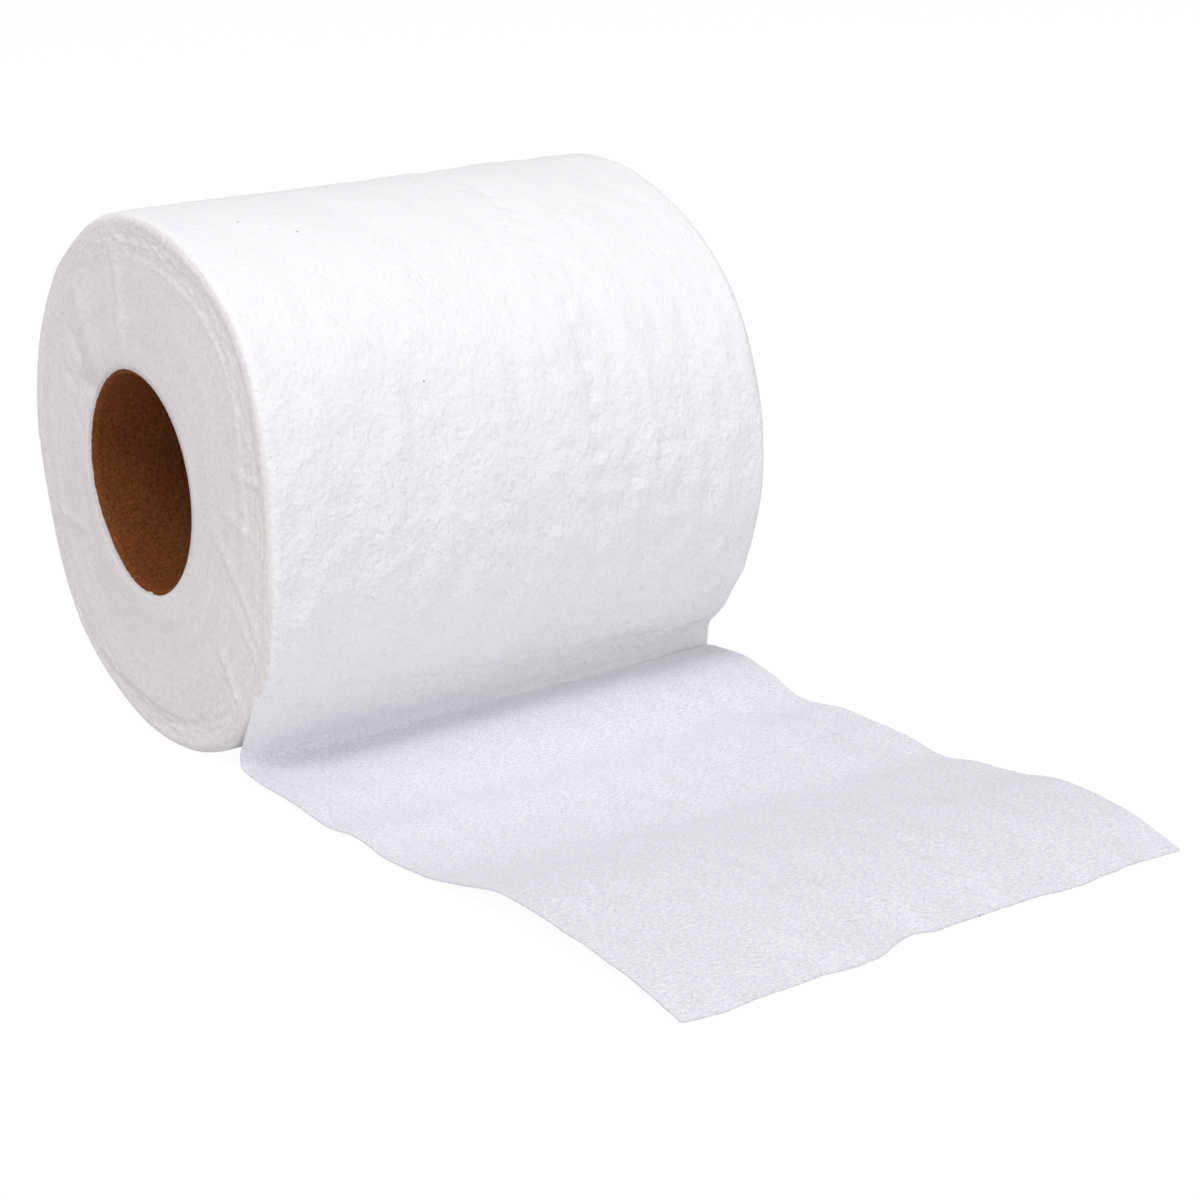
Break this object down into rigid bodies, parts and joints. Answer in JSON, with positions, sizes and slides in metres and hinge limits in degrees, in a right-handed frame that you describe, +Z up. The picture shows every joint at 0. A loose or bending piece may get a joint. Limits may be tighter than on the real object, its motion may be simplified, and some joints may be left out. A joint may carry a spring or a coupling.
{
  "type": "toilet paper roll",
  "caption": "Wound roll of white embossed tissue on a brown board tube, its loose end folded out in front to a torn edge.",
  "frame": {"origin": "on the board tube's axis, half way along it", "axes": "+X along the tube, away from the end face that the picture shows; +Z up; the loose end lies towards -Y"},
  "size_m": [0.103, 0.2105, 0.0968],
  "materials": {
    "tissue": "matt, soft and embossed",
    "tube_board": "matt kraft board"
  },
  "bodies": {
    "root": {"core_tube": "tube_board", "tissue_web": "tissue"}
  },
  "joints": []
}
